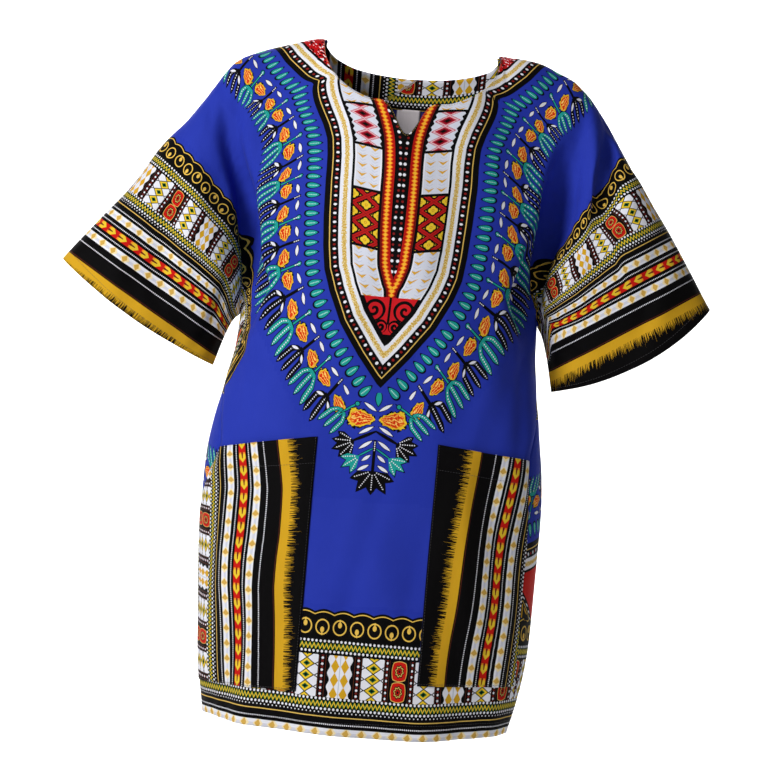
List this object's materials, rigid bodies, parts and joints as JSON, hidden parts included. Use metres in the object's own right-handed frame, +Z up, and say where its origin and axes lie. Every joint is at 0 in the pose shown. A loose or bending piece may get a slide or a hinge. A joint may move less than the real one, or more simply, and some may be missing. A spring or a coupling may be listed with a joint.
{
  "type": "ankara dress",
  "caption": "Hollow worn tunic dress with wide grown-on short sleeves, a round neck with a centre notch, and patch pockets.",
  "frame": {"origin": "middle of the neck opening, level with the two neck points where the shoulder seams begin: the place where the dress hangs on its wearer's shoulders", "axes": "+Z up the wearer's body, -Y out of the front, +X to the right of someone who faces the front"},
  "size_m": [0.81, 0.2676, 0.846],
  "materials": {
    "front": "printed plain-weave cotton, matt with a faint sheen",
    "back": "printed plain-weave cotton, matt with a faint sheen",
    "pocket_left": "printed plain-weave cotton, matt with a faint sheen",
    "pocket_right": "printed plain-weave cotton, matt with a faint sheen",
    "neck_facing": "printed plain-weave cotton, matt with a faint sheen",
    "label": "plain woven polyester tape, matt, blank"
  },
  "bodies": {
    "root": {"front": "front", "back": "back", "pocket_left": "pocket_left", "pocket_right": "pocket_right", "neck_facing": "neck_facing", "label": "label"}
  },
  "joints": []
}
